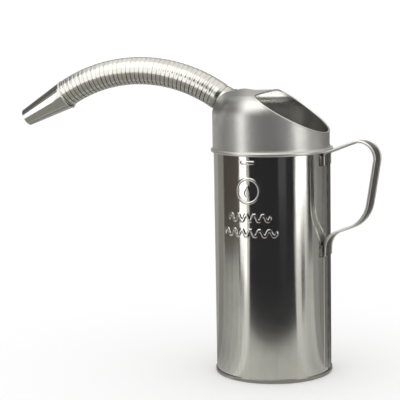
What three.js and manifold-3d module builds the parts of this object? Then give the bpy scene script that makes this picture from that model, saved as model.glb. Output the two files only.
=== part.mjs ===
// Two-litre tinplate oil measure: a cylindrical can with a drawn hood, a wired mouth, a strap handle
// and a flexible strip-wound metal spout that ends in a conical nozzle. Millimetres, +Z up. The origin
// is the centre of the base in the plane that the can stands on, and the spout lies towards -X.
import * as THREE from "three";
import Module from "manifold-3d";
import { mergeVertices } from "three/addons/utils/BufferGeometryUtils.js";

const wasm = await Module();
wasm.setup();

// ---- driving dimensions ----
const SHEET = 0.5; // tinplate thickness
const GAP = 0.3; // clearance between pieces that touch
const ROUND = 48; // facets around the can

const BODY_RADIUS = 56; // outside of the cylinder
const BODY_TOP = 217.3; // flange that the hood is seamed to
const BODY_BOTTOM = 1.1;
const BASE_RECESS = 2.2; // height of the base panel above the foot
const FOOT_RADIUS = 57;
const FOOT_HEIGHT = 3.8;

const HOOD_RADIUS = 56;
const SEAM_RADIUS = 58.3; // double seam between hood and body
const SEAM_HALF_HEIGHT = 1.2;
const SHOULDER_START = 251.6; // the hood's wall is straight up to here
const SHOULDER_REACH = 15; // the shoulder is a quarter ellipse, this wide
const SHOULDER_RISE = 19.3; // and this high
const CROWN_RISE = 0.6;
const MOUTH_HEIGHT = 267.1; // the mouth's cut: height = MOUTH_HEIGHT - MOUTH_SLOPE x + MOUTH_CURVE x^2
const MOUTH_SLOPE = 0.651;
const MOUTH_CURVE = 0.0007;
const MOUTH_WIRE_RADIUS = 0.9;
const MOUTH_WIRE_INSET = 0.5; // its centre lies this far inside the hood's wall

const ARC_X = -134.1; // centre and radius of the spout's arch
const ARC_Z = 144.4;
const ARC_RADIUS = 147.7;
const ARC_START = THREE.MathUtils.degToRad(31.2); // the spout's first joint, measured from the arch's crown
const HOSE_RADIUS = 13;
const HOSE_GROOVE_RADIUS = 12.3;
const HOSE_BORE = 9.8;
const TURN_GROOVE = 0.9; // width of the groove between two turns of the strip
const TURNS = 3; // turns of the strip on each segment
const SEGMENTS = 12;
const SEGMENT_LENGTH = 13.65;
const JOINT_GAP = 2.8; // open groove that lets one segment bend on the next
const BALL_RADIUS = 11.2; // spigot that each segment carries into the next
const BALL_REACH = 3.5;
const SOCKET_BORE = 11.65;
const SOCKET_DEPTH = 6.2;

const NECK_RADIUS = 11.4; // drawn outlet that the hose is soldered on
const NECK_BORE = 10.6;
const NECK_SKIRT = 14; // collar that sits on the hood's shoulder
const NECK_DEPTH = 11; // from the neck's reference point into the hood
const NECK_ANGLE = THREE.MathUtils.degToRad(33.5);

const NOZZLE_ANGLE = THREE.MathUtils.degToRad(27.8); // below the horizontal
const NOZZLE_LENGTH = 51;
const NOZZLE_BASE_RADIUS = 14.1;
const NOZZLE_TIP_RADIUS = 8.6;
const NOZZLE_BEAD_RADIUS = 0.55;
const NOZZLE_START = 0.8; // distances along the nozzle's axis from the hose's end
const NOZZLE_BEAD_PLACE = 1.4;
const NOZZLE_DROP = 0.75; // the nozzle's axis lies this far below the end of the hose's
const NOZZLE_TAPER_START = 3;

const HANDLE_ANGLE = THREE.MathUtils.degToRad(-11); // turned from +X about the can's axis
const HANDLE_WIDTH = 16.6;
const HANDLE_STRAP = 0.9;
const HANDLE_WIRE_RADIUS = 1.1;
const HANDLE_WIRE_RISE = 0.25; // the wires' centre line lies this far outside the strap's
const FOOT_PLATE_WIDTH = 22;
const UPPER_PLATE = [203, 215]; // from and to, in height
const LOWER_PLATE = [116.5, 133];
const HANDLE_FOOT = 57.95; // distance of the strap's feet from the can's axis

const MARK_ANGLE = THREE.MathUtils.degToRad(-98.3);
const EMBOSS = 0.45; // height of the embossed marks
const SEAM_STRIP_WIDTH = 8.8;
const SEAM_STRIP_HEIGHT = 0.4;

// ---- materials ----
function metal(name, color, roughness) {
  return new THREE.MeshStandardMaterial({ name, color, roughness, metalness: 1 });
}

const tinplate = metal("tinplate", 0xb9b8b2, 0.16);
const satinTin = metal("satin_tin", 0x9c9c97, 0.42);
const zincSteel = metal("hose_steel", 0xb4b0a4, 0.3);
const solderedSteel = metal("soldered_steel", 0x77746c, 0.5);

// ---- helpers ----
const object = new THREE.Group();

function addPiece(name, geometry, material, parent = object) {
  const piece = new THREE.Mesh(geometry, material);
  piece.name = name;
  parent.add(piece);
  return piece;
}

function points(list) {
  return list.map(([x, y]) => new THREE.Vector2(x, y));
}

// A closed outline of [radius, height] pairs turned about the Z axis.
function turned(outline, facets = ROUND) {
  const geometry = new THREE.LatheGeometry(points(outline), facets);
  return welded(geometry.rotateX(Math.PI / 2));
}

function welded(geometry) {
  const bare = geometry.index ? geometry.toNonIndexed() : geometry;
  bare.deleteAttribute("normal");
  bare.deleteAttribute("uv");
  return mergeVertices(bare, 1e-4);
}

function solid(geometry) {
  const clean = welded(geometry);
  const vertProperties = new Float32Array(clean.attributes.position.array);
  const triVerts = new Uint32Array(clean.index.array);
  return new wasm.Manifold(new wasm.Mesh({ numProp: 3, vertProperties, triVerts }));
}

function surface(manifold) {
  const mesh = manifold.getMesh();
  const geometry = new THREE.BufferGeometry();
  geometry.setAttribute("position", new THREE.BufferAttribute(mesh.vertProperties, 3));
  geometry.setIndex(new THREE.BufferAttribute(mesh.triVerts, 1));
  return geometry;
}

// An outline in the XZ plane, extruded along Y and centred on it.
function slab(outline, depth) {
  const shape = outline instanceof THREE.Shape ? outline : new THREE.Shape(points(outline));
  const geometry = new THREE.ExtrudeGeometry(shape, { depth, bevelEnabled: false, curveSegments: 10 });
  return geometry.rotateX(Math.PI / 2).translate(0, depth / 2, 0);
}

function wireAlong(path, radius, steps, sides = 6) {
  const section = new THREE.Shape();
  for (let side = 0; side < sides; side += 1) {
    const angle = (2 * Math.PI * side) / sides;
    const corner = [radius * Math.cos(angle), radius * Math.sin(angle)];
    if (side === 0) {
      section.moveTo(...corner);
    } else {
      section.lineTo(...corner);
    }
  }
  section.closePath();
  return new THREE.ExtrudeGeometry(section, { steps, extrudePath: path });
}

// ---- body: cylinder with its lock seam and embossed marks ----
function bodyShell() {
  const inner = BODY_RADIUS - SHEET;
  const flange = BODY_RADIUS + 1.3;
  const shell = solid(
    turned([
      [inner, BODY_BOTTOM],
      [BODY_RADIUS, BODY_BOTTOM],
      [BODY_RADIUS, BODY_TOP - SHEET],
      [flange, BODY_TOP - SHEET],
      [flange, BODY_TOP],
      [inner, BODY_TOP],
      [inner, BODY_BOTTOM],
    ]),
  );
  const strip = new THREE.BoxGeometry(10, SEAM_STRIP_WIDTH, BODY_TOP - FOOT_HEIGHT - 6);
  strip.translate(BODY_RADIUS, 0, (BODY_TOP + FOOT_HEIGHT) / 2 - 1.5);
  strip.rotateZ(HANDLE_ANGLE);
  const seam = solid(strip).intersect(solid(sleeve(BODY_RADIUS + SEAM_STRIP_HEIGHT)));
  return surface(shell.add(seam).add(embossing()));
}

// A thin tube that hugs the body's wall, out to the given radius.
function sleeve(outer) {
  const inner = BODY_RADIUS - 0.8 * SHEET;
  const low = FOOT_HEIGHT;
  return turned([
    [inner, low],
    [outer, low],
    [outer, BODY_TOP - 1],
    [inner, BODY_TOP - 1],
    [inner, low],
  ]);
}

function stadium(length, height) {
  const end = height / 2;
  const shape = new THREE.Shape();
  shape.moveTo(-length / 2 + end, -end);
  shape.lineTo(length / 2 - end, -end);
  shape.absarc(length / 2 - end, 0, end, -Math.PI / 2, Math.PI / 2);
  shape.lineTo(-length / 2 + end, end);
  shape.absarc(-length / 2 + end, 0, end, Math.PI / 2, (3 * Math.PI) / 2);
  return shape;
}

function ringShape(radius, band) {
  const shape = new THREE.Shape();
  shape.absarc(0, 0, radius, 0, 2 * Math.PI);
  const hole = new THREE.Path();
  hole.absarc(0, 0, radius - band, 0, 2 * Math.PI, true);
  shape.holes.push(hole);
  return shape;
}

function dropShape(height, radius) {
  const shape = new THREE.Shape();
  const low = radius - height / 2;
  shape.moveTo(0, height / 2);
  shape.quadraticCurveTo(-radius, low + radius, -radius, low);
  shape.absarc(0, low, radius, Math.PI, 2 * Math.PI);
  shape.quadraticCurveTo(radius, low + radius, 0, height / 2);
  return shape;
}

// A bead that waves like a liquid's surface.
function waveShape(length, waves, swing, bead) {
  const steps = 8 * waves;
  const alongWave = (step) => -length / 2 + (length * step) / steps;
  const height = (step) => swing * Math.sin((2 * Math.PI * waves * step) / steps);
  const shape = new THREE.Shape();
  shape.moveTo(alongWave(0), height(0) - bead / 2);
  for (let step = 1; step <= steps; step += 1) {
    shape.lineTo(alongWave(step), height(step) - bead / 2);
  }
  for (let step = steps; step >= 0; step -= 1) {
    shape.lineTo(alongWave(step), height(step) + bead / 2);
  }
  return shape;
}

// Fill-level bead, a ring with an oil drop in it and two wavy beads below.
function embossing() {
  const marks = [
    { shape: stadium(15.2, 3.7), height: 209.9 },
    { shape: ringShape(12.5, 2.3), height: 183.4 },
    { shape: dropShape(12.4, 4.1), height: 183.4 },
    { shape: waveShape(42, 5, 2.6, 3.2), height: 158.2 },
    { shape: waveShape(54, 6, 2.6, 3.2), height: 143.9 },
  ];
  const depth = 24;
  const stamps = marks.map(({ shape, height }) => {
    const stamp = slab(shape, depth).translate(0, -BODY_RADIUS + 1, height);
    stamp.rotateZ(MARK_ANGLE + Math.PI / 2);
    return solid(stamp);
  });
  const joined = stamps.reduce((all, stamp) => all.add(stamp));
  return joined.intersect(solid(sleeve(BODY_RADIUS + EMBOSS)));
}

// ---- base: recessed panel and the rolled foot that the body stands in ----
function baseEnd() {
  const wall = BODY_RADIUS - SHEET - 2.5 * GAP;
  const hook = FOOT_RADIUS - SHEET;
  const bevel = 0.6;
  return turned([
    [0, BASE_RECESS],
    [wall - SHEET, BASE_RECESS],
    [wall - SHEET, bevel],
    [wall - SHEET + bevel, 0],
    [FOOT_RADIUS - bevel, 0],
    [FOOT_RADIUS, bevel],
    [FOOT_RADIUS, FOOT_HEIGHT],
    [hook, FOOT_HEIGHT],
    [hook, SHEET],
    [wall, SHEET],
    [wall, BASE_RECESS + SHEET],
    [0, BASE_RECESS + SHEET],
  ]);
}

// ---- hood ----
const shoulderCentre = HOOD_RADIUS - SHOULDER_REACH;
const shoulderTop = SHOULDER_START + SHOULDER_RISE;

// The hood's outside, as [radius, height] from the wall to the axis, moved out by the given amount.
function domeOutline(offset) {
  const outline = [];
  const steps = 8;
  for (let step = 0; step <= steps; step += 1) {
    const turn = (Math.PI / 2) * (step / steps);
    outline.push([
      shoulderCentre + (SHOULDER_REACH + offset) * Math.cos(turn),
      SHOULDER_START + (SHOULDER_RISE + offset) * Math.sin(turn),
    ]);
  }
  outline.push([0, shoulderTop + CROWN_RISE + offset]);
  return outline;
}

function domeHeight(radius) {
  if (radius > shoulderCentre) {
    const across = (radius - shoulderCentre) / SHOULDER_REACH;
    return SHOULDER_START + SHOULDER_RISE * Math.sqrt(Math.max(0, 1 - across * across));
  }
  return shoulderTop + CROWN_RISE * (1 - radius / shoulderCentre);
}

function cutHeight(x) {
  return MOUTH_HEIGHT - MOUTH_SLOPE * x + MOUTH_CURVE * x * x;
}

// Where the ray at the given angle from inside the mouth leaves the hood through the cut.
function mouthPoint(angle) {
  const centre = 24;
  const onRay = (reach) => [centre + reach * Math.cos(angle), reach * Math.sin(angle)];
  let near = 0;
  let far = 2 * HOOD_RADIUS;
  for (let halving = 0; halving < 40; halving += 1) {
    const middle = (near + far) / 2;
    const [x, y] = onRay(middle);
    const radius = Math.hypot(x, y);
    const open = radius < HOOD_RADIUS - MOUTH_WIRE_INSET && domeHeight(radius) > cutHeight(x);
    if (open) {
      near = middle;
    } else {
      far = middle;
    }
  }
  const [x, y] = onRay(near);
  return new THREE.Vector3(x, y, cutHeight(x));
}

// The mouth's edge, from one end of its wire round to the other; the ends butt at the high side.
function mouthPath() {
  const count = 64;
  const butt = 0.006;
  const edge = [];
  for (let index = 0; index <= count; index += 1) {
    const turn = butt + (2 * Math.PI - 2 * butt) * (index / count);
    edge.push(mouthPoint(Math.PI + turn));
  }
  return new THREE.CatmullRomCurve3(edge);
}

const spoutAxis = new THREE.Vector3(-Math.cos(NECK_ANGLE), 0, Math.sin(NECK_ANGLE));
const neckOrigin = arcPoint(NECK_ANGLE);

function arcPoint(angle) {
  return new THREE.Vector3(ARC_X + ARC_RADIUS * Math.sin(angle), 0, ARC_Z + ARC_RADIUS * Math.cos(angle));
}

// Moves a piece that was turned about Z so that it lies along a direction in the XZ plane.
function laidAlong(geometry, origin, direction) {
  const turn = new THREE.Quaternion().setFromUnitVectors(new THREE.Vector3(0, 0, 1), direction);
  return geometry.applyQuaternion(turn).translate(origin.x, origin.y, origin.z);
}

function hood() {
  const low = BODY_TOP - SEAM_HALF_HEIGHT;
  const high = BODY_TOP + SEAM_HALF_HEIGHT;
  const chamfer = 0.4;
  const outside = domeOutline(0);
  const inside = domeOutline(-SHEET).reverse();
  const shell = solid(
    turned([
      ...inside,
      [HOOD_RADIUS - SHEET, BODY_TOP + GAP],
      [SEAM_RADIUS - SHEET, BODY_TOP + GAP],
      [SEAM_RADIUS - SHEET, low],
      [SEAM_RADIUS - chamfer, low],
      [SEAM_RADIUS, low + chamfer],
      [SEAM_RADIUS, high - chamfer],
      [SEAM_RADIUS - chamfer, high],
      [HOOD_RADIUS + chamfer, high],
      [HOOD_RADIUS, high + chamfer],
      ...outside,
    ]),
  );
  const cut = [];
  for (let x = -20; x <= 70; x += 5) {
    cut.push([x, cutHeight(x)]);
  }
  cut.push([70, 330], [-20, 330]);
  const mouth = solid(slab(cut, 4 * HOOD_RADIUS));
  const wire = solid(wireAlong(mouthPath(), MOUTH_WIRE_RADIUS + GAP, 64));
  const bore = new THREE.CylinderGeometry(NECK_BORE, NECK_BORE, 40, 32).rotateX(Math.PI / 2);
  laidAlong(bore, neckOrigin, spoutAxis);
  return surface(shell.subtract(mouth).subtract(wire).subtract(solid(bore)));
}

function mouthWire() {
  return wireAlong(mouthPath(), MOUTH_WIRE_RADIUS, 64);
}

// ---- outlet neck: a short tube whose skirt sits on the hood's shoulder ----
function outletNeck() {
  const tip = 0.5;
  const skirtTop = -5.2;
  const deep = -NECK_DEPTH;
  const tube = solid(
    laidAlong(
      turned(
        [
          [NECK_RADIUS - SHEET, deep],
          [NECK_SKIRT, deep],
          [NECK_SKIRT, skirtTop - 1],
          [NECK_SKIRT - 0.8, skirtTop],
          [NECK_RADIUS, skirtTop],
          [NECK_RADIUS, tip],
          [NECK_RADIUS - SHEET, tip],
          [NECK_RADIUS - SHEET, deep],
        ],
        32,
      ),
      neckOrigin,
      spoutAxis,
    ),
  );
  const dome = solid(turned([[0, 0], [HOOD_RADIUS + GAP, 0], ...domeOutline(GAP)]));
  return surface(tube.subtract(dome));
}

// ---- spout: ferrule, segments and nozzle, laid along the arch ----
// Bends a piece that stands on Z so that its Z runs along the arch from the given angle.
function bentAlongArc(geometry, start) {
  const position = geometry.attributes.position;
  for (let index = 0; index < position.count; index += 1) {
    const outward = ARC_RADIUS + position.getX(index);
    const angle = start - position.getZ(index) / ARC_RADIUS;
    position.setXYZ(
      index,
      ARC_X + outward * Math.sin(angle),
      position.getY(index),
      ARC_Z + outward * Math.cos(angle),
    );
  }
  return geometry;
}

// The ball-shaped spigot that a segment carries at its outer end, about the joint at the given height.
function spigot(joint) {
  const side = joint - JOINT_GAP / 2;
  const atHeight = (height) => Math.sqrt(BALL_RADIUS ** 2 - height ** 2);
  return [
    [atHeight(JOINT_GAP / 2), side],
    [BALL_RADIUS, joint],
    [atHeight(BALL_REACH), joint + BALL_REACH],
    [HOSE_BORE, joint + BALL_REACH],
  ];
}

function turnsOutline(from, to, turns) {
  const band = (to - from - (turns - 1) * TURN_GROOVE) / turns;
  const outline = [];
  for (let turn = 0; turn < turns; turn += 1) {
    const low = from + turn * (band + TURN_GROOVE);
    outline.push([HOSE_RADIUS, low], [HOSE_RADIUS, low + band]);
    if (turn < turns - 1) {
      outline.push([HOSE_GROOVE_RADIUS, low + band], [HOSE_GROOVE_RADIUS, low + band + TURN_GROOVE]);
    }
  }
  return outline;
}

const HOSE_FACETS = 18;

function hoseSegment(index) {
  const low = JOINT_GAP / 2;
  const last = index === SEGMENTS - 1;
  const high = last ? SEGMENT_LENGTH - 1 : SEGMENT_LENGTH - JOINT_GAP / 2;
  const end = last ? [[HOSE_BORE, high]] : spigot(SEGMENT_LENGTH);
  const outline = [
    [SOCKET_BORE, low],
    ...turnsOutline(low, high, TURNS),
    ...end,
    [HOSE_BORE, SOCKET_DEPTH],
    [SOCKET_BORE, SOCKET_DEPTH],
    [SOCKET_BORE, low],
  ];
  const start = ARC_START - (index * SEGMENT_LENGTH) / ARC_RADIUS;
  return bentAlongArc(turned(outline, HOSE_FACETS), start);
}

// Smooth sleeve that holds the hose on the neck.
function hoseFerrule() {
  const high = -JOINT_GAP / 2;
  const low = -8.2;
  const bore = NECK_RADIUS + GAP;
  const stop = -5 + GAP;
  const outline = [
    [bore, low],
    [HOSE_RADIUS, low],
    [HOSE_RADIUS, high],
    ...spigot(0),
    [HOSE_BORE, stop],
    [bore, stop],
    [bore, low],
  ];
  return bentAlongArc(turned(outline, HOSE_FACETS), ARC_START);
}

const hoseEnd = arcPoint(ARC_START - (SEGMENTS * SEGMENT_LENGTH) / ARC_RADIUS);
const nozzleAxis = new THREE.Vector3(-Math.cos(NOZZLE_ANGLE), 0, -Math.sin(NOZZLE_ANGLE));
const nozzleDown = new THREE.Vector3(Math.sin(NOZZLE_ANGLE), 0, -Math.cos(NOZZLE_ANGLE));
const nozzleBase = hoseEnd.clone().addScaledVector(nozzleDown, NOZZLE_DROP);

function nozzleCone() {
  const inner = NOZZLE_BASE_RADIUS - SHEET;
  const outline = [
    [inner, NOZZLE_START],
    [NOZZLE_BASE_RADIUS, NOZZLE_START],
    [NOZZLE_BASE_RADIUS, NOZZLE_TAPER_START],
    [NOZZLE_TIP_RADIUS, NOZZLE_LENGTH],
    [NOZZLE_TIP_RADIUS - SHEET, NOZZLE_LENGTH],
    [inner, NOZZLE_TAPER_START],
    [inner, NOZZLE_START],
  ];
  return laidAlong(turned(outline, 24), nozzleBase, nozzleAxis);
}

function nozzleBead() {
  const inner = NOZZLE_BASE_RADIUS + GAP;
  const outline = [];
  const sides = 6;
  for (let side = 0; side <= sides; side += 1) {
    const angle = (2 * Math.PI * side) / sides - Math.PI / 2;
    outline.push([
      inner + NOZZLE_BEAD_RADIUS + NOZZLE_BEAD_RADIUS * Math.cos(angle),
      NOZZLE_BEAD_PLACE + NOZZLE_BEAD_RADIUS * Math.sin(angle),
    ]);
  }
  return laidAlong(turned(outline, 24), nozzleBase, nozzleAxis);
}

// ---- handle: a strap with a wired edge on each side, on two foot plates ----
// The strap's route in the handle's own plane: [distance from the can's axis, height, corner radius].
const HANDLE_ROUTE = [
  [HANDLE_FOOT, 204.5, 0],
  [HANDLE_FOOT, 215.4, 2.5],
  [112.8, 236.4, 15.5],
  [98.6, 152.8, 30.9],
  [HANDLE_FOOT + 0.6, 137.3, 17.7],
  [HANDLE_FOOT, 118, 0],
];

// A THREE.Path through the route with its corners rounded.
function roundedPath(route) {
  const corners = route.map(([x, y]) => new THREE.Vector2(x, y));
  const path = new THREE.Path();
  path.moveTo(corners[0].x, corners[0].y);
  for (let index = 1; index < corners.length - 1; index += 1) {
    const corner = corners[index];
    const radius = route[index][2];
    const back = corners[index - 1].clone().sub(corner).normalize();
    const ahead = corners[index + 1].clone().sub(corner).normalize();
    const half = Math.acos(back.dot(ahead)) / 2;
    const middle = back.clone().add(ahead).normalize();
    const centre = corner.clone().addScaledVector(middle, radius / Math.sin(half));
    const enter = corner.clone().addScaledVector(back, radius / Math.tan(half)).sub(centre);
    const leave = corner.clone().addScaledVector(ahead, radius / Math.tan(half)).sub(centre);
    const clockwise = back.cross(ahead) > 0;
    path.absarc(centre.x, centre.y, radius, enter.angle(), leave.angle(), clockwise);
  }
  const last = corners[corners.length - 1];
  path.lineTo(last.x, last.y);
  return path;
}

function handlePath(offset, side) {
  const route = roundedPath(HANDLE_ROUTE);
  const count = 60;
  const along = [];
  for (let index = 0; index <= count; index += 1) {
    const point = route.getPointAt(index / count);
    const tangent = route.getTangentAt(index / count);
    along.push(new THREE.Vector3(point.x - tangent.y * offset, side, point.y + tangent.x * offset));
  }
  return new THREE.CatmullRomCurve3(along);
}

function handleStrap() {
  const half = HANDLE_WIDTH / 2 - 2 * HANDLE_WIRE_RADIUS - GAP;
  const thick = HANDLE_STRAP / 2;
  const section = new THREE.Shape(
    points([
      [-half, -thick],
      [half, -thick],
      [half, thick],
      [-half, thick],
    ]),
  );
  return new THREE.ExtrudeGeometry(section, { steps: 48, extrudePath: handlePath(0, 0) });
}

function handleWire(side) {
  const across = side * (HANDLE_WIDTH / 2 - HANDLE_WIRE_RADIUS);
  return wireAlong(handlePath(HANDLE_WIRE_RISE, across), HANDLE_WIRE_RADIUS, 48);
}

// A plate that hugs the body under one end of the strap.
function footPlate([low, high]) {
  const inner = BODY_RADIUS + SEAM_STRIP_HEIGHT + GAP;
  const ring = turned(
    [
      [inner, low],
      [inner + SHEET, low],
      [inner + SHEET, high],
      [inner, high],
      [inner, low],
    ],
    3 * ROUND,
  );
  const arc = new THREE.BoxGeometry(BODY_RADIUS, FOOT_PLATE_WIDTH, 2 * (high - low));
  arc.translate(BODY_RADIUS, 0, (low + high) / 2);
  return surface(solid(ring).intersect(solid(arc)));
}

// ---- assembly ----
addPiece("body_shell", bodyShell(), tinplate);
addPiece("base_end", baseEnd(), tinplate);
addPiece("hood", hood(), satinTin);
addPiece("mouth_wire", mouthWire(), satinTin);
addPiece("outlet_neck", outletNeck(), tinplate);
addPiece("hose_ferrule", hoseFerrule(), zincSteel);
for (let index = 0; index < SEGMENTS; index += 1) {
  const number = String(index + 1).padStart(2, "0");
  addPiece(`hose_segment_${number}`, hoseSegment(index), zincSteel);
}
addPiece("nozzle_cone", nozzleCone(), tinplate);
addPiece("nozzle_bead", nozzleBead(), tinplate);

const handle = new THREE.Group();
handle.rotation.z = HANDLE_ANGLE;
object.add(handle);
addPiece("handle_strap", handleStrap(), tinplate, handle);
addPiece("handle_wire_front", handleWire(-1), tinplate, handle);
addPiece("handle_wire_back", handleWire(1), tinplate, handle);
addPiece("foot_plate_upper", footPlate(UPPER_PLATE), solderedSteel, handle);
addPiece("foot_plate_lower", footPlate(LOWER_PLATE), solderedSteel, handle);

export default object;
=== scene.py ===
"""A two-litre tinplate oil measure with a flexible metal spout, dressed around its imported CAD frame.

Lengths in the constants are millimetres, and MM turns them into metres. The can stands on Z = 0 with its
axis on Z, the spout lies towards -X and the mouth's low side towards +X.
"""
import math

import bpy
import numpy as np
from mathutils import Matrix, Vector


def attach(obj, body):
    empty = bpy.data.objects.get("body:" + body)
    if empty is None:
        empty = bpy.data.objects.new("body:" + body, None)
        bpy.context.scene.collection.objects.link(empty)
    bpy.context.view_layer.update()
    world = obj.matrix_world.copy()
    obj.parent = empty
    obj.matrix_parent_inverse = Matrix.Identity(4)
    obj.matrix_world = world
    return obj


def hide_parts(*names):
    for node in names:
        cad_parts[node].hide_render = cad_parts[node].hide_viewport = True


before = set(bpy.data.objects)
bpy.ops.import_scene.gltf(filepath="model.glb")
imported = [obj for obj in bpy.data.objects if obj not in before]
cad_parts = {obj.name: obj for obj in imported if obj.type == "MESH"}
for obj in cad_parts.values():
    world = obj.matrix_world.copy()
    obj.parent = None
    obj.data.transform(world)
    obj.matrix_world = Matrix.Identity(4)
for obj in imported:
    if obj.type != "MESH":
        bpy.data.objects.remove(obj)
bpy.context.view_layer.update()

MM = 0.001
SHEET = 0.5
HOOD_LEAN = 0.8  # the hood's wall was pressed on a little towards the spout
HOOD_TAPER = 0.3

# ---- sizes, the same as the CAD part's unless a comment gives the CAD's own ----
BODY_RADIUS = 56.0
BODY_TOP = 217.3
BODY_BOTTOM = 1.1
BODY_FLANGE = 1.3
BASE_RECESS = 2.2
BASE_CLEARANCE = 0.75
FOOT_RADIUS = 57.0
FOOT_HEIGHT = 3.8
HOOD_RADIUS = 56.0
SEAM_RADIUS = 58.3
SEAM_HALF_HEIGHT = 1.2
SHOULDER_START = 251.6
SHOULDER_REACH = 15.0
SHOULDER_RISE = 19.3
CROWN_RISE = 0.6
MOUTH_HEIGHT, MOUTH_SLOPE, MOUTH_CURVE = 267.1, 0.651, 0.0007
MOUTH_WIRE_RADIUS = 1.0  # CAD: 0.9
MOUTH_WIRE_INSET = 0.5
ARC_X, ARC_Z, ARC_RADIUS = -134.1, 144.4, 147.7
ARC_START = math.radians(31.2)
HOSE_RADIUS = 13.4  # CAD: 13
SEGMENTS = 12
SEGMENT_LENGTH = 13.65
NECK_ANGLE = math.radians(33.5)
NOZZLE_ANGLE = math.radians(27.8)
NOZZLE_LENGTH = 51.0
NOZZLE_BASE_RADIUS = 14.1
NOZZLE_TIP_RADIUS = 8.6
NOZZLE_DROP = 0.75
HANDLE_ANGLE = math.radians(-11)
HANDLE_WIDTH = 16.6
HANDLE_FOOT = 57.95
HANDLE_ROUTE = [  # distance from the axis, height, corner radius
    (HANDLE_FOOT, 204.5, 0),
    (HANDLE_FOOT, 215.4, 2.5),
    (112.8, 236.4, 15.5),
    (98.6, 152.8, 30.9),
    (HANDLE_FOOT + 0.6, 137.3, 17.7),
    (HANDLE_FOOT, 118, 0),
]
MARK_ANGLE = math.radians(-98.3)
EMBOSS = 0.55  # CAD: 0.45
FILL_BEAD = (209.9, 15.2, 3.7)  # height up the body, length, width
RING_LEVEL, RING_RADIUS = 183.4, 11.35
DROP_LEVEL, DROP_RADIUS, DROP_TIP_RADIUS, DROP_RISE = 181.2, 4.0, 0.5, 7.4
WAVY_BEADS = [(42, 5, 158.2), (54, 6, 143.9)]  # length, waves, height up the body
WAVE_SWING = 2.6
LOCK_SEAM_WIDTH = 8.8
LOCK_SEAM_HEIGHT = 0.4

LAST_BODY = f"spout_{SEGMENTS:02d}"


# ---- materials ----
class Nodes:
    """Shorthand for building one material's node tree."""

    def __init__(self, name):
        self.material = bpy.data.materials.new(name)
        self.material.use_nodes = True
        self.tree = self.material.node_tree
        self.shader = self.tree.nodes["Principled BSDF"]
        self.place = self.add("ShaderNodeTexCoord").outputs["Object"]

    def add(self, kind, **values):
        node = self.tree.nodes.new(kind)
        for key, value in values.items():
            setattr(node, key, value)
        return node

    def link(self, source, target):
        self.tree.links.new(source, target)
        return source

    def stretched(self, x, y, z):
        """Object coordinates in metres, scaled by these factors."""
        node = self.add("ShaderNodeVectorMath", operation="MULTIPLY")
        self.link(self.place, node.inputs[0])
        node.inputs[1].default_value = (x, y, z)
        return node.outputs[0]

    def noise(self, place, scale, detail=3.0, rough=0.55, distortion=0.0):
        node = self.add("ShaderNodeTexNoise")
        self.link(place, node.inputs["Vector"])
        node.inputs["Scale"].default_value = scale
        node.inputs["Detail"].default_value = detail
        node.inputs["Roughness"].default_value = rough
        node.inputs["Distortion"].default_value = distortion
        return node.outputs["Fac"]

    def ranged(self, value, low, high, to_low, to_high):
        node = self.add("ShaderNodeMapRange")
        self.link(value, node.inputs["Value"])
        node.inputs["From Min"].default_value = low
        node.inputs["From Max"].default_value = high
        node.inputs["To Min"].default_value = to_low
        node.inputs["To Max"].default_value = to_high
        return node.outputs["Result"]

    def maths(self, operation, first, second):
        node = self.add("ShaderNodeMath", operation=operation)
        for socket, value in zip(node.inputs, (first, second)):
            if isinstance(value, (int, float)):
                socket.default_value = value
            else:
                self.link(value, socket)
        return node.outputs[0]

    def mixed(self, amount, first, second):
        node = self.add("ShaderNodeMix", data_type="RGBA")
        self.link(amount, node.inputs["Factor"])
        for socket, value in ((node.inputs["A"], first), (node.inputs["B"], second)):
            if isinstance(value, tuple):
                socket.default_value = (*value, 1)
            else:
                self.link(value, socket)
        return node.outputs["Result"]

    def colour(self, source):
        self.link(source, self.shader.inputs["Base Color"])

    def roughness(self, source):
        self.link(source, self.shader.inputs["Roughness"])

    def bump(self, layers):
        """layers: (height source, strength, distance in metres), the broadest first."""
        normal = None
        for source, strength, distance in layers:
            node = self.add("ShaderNodeBump")
            node.inputs["Strength"].default_value = strength
            node.inputs["Distance"].default_value = distance
            self.link(source, node.inputs["Height"])
            if normal is not None:
                self.link(normal, node.inputs["Normal"])
            normal = node.outputs["Normal"]
        self.link(normal, self.shader.inputs["Normal"])

    def grooved_round_z(self, amount):
        """Stretches the reflections along Z, as fine grooves that run round Z do."""
        parts = self.add("ShaderNodeSeparateXYZ")
        self.link(self.place, parts.inputs[0])
        around = self.add("ShaderNodeCombineXYZ")
        self.link(self.maths("MULTIPLY", parts.outputs["Y"], -1.0), around.inputs["X"])
        self.link(parts.outputs["X"], around.inputs["Y"])
        unit = self.add("ShaderNodeVectorMath", operation="NORMALIZE")
        self.link(around.outputs[0], unit.inputs[0])
        self.link(unit.outputs[0], self.shader.inputs["Tangent"])
        self.shader.inputs["Anisotropic"].default_value = amount
        self.shader.inputs["Anisotropic Rotation"].default_value = 0.25

    def attribute(self, name):
        return self.add("ShaderNodeAttribute", attribute_name=name).outputs["Fac"]


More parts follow.
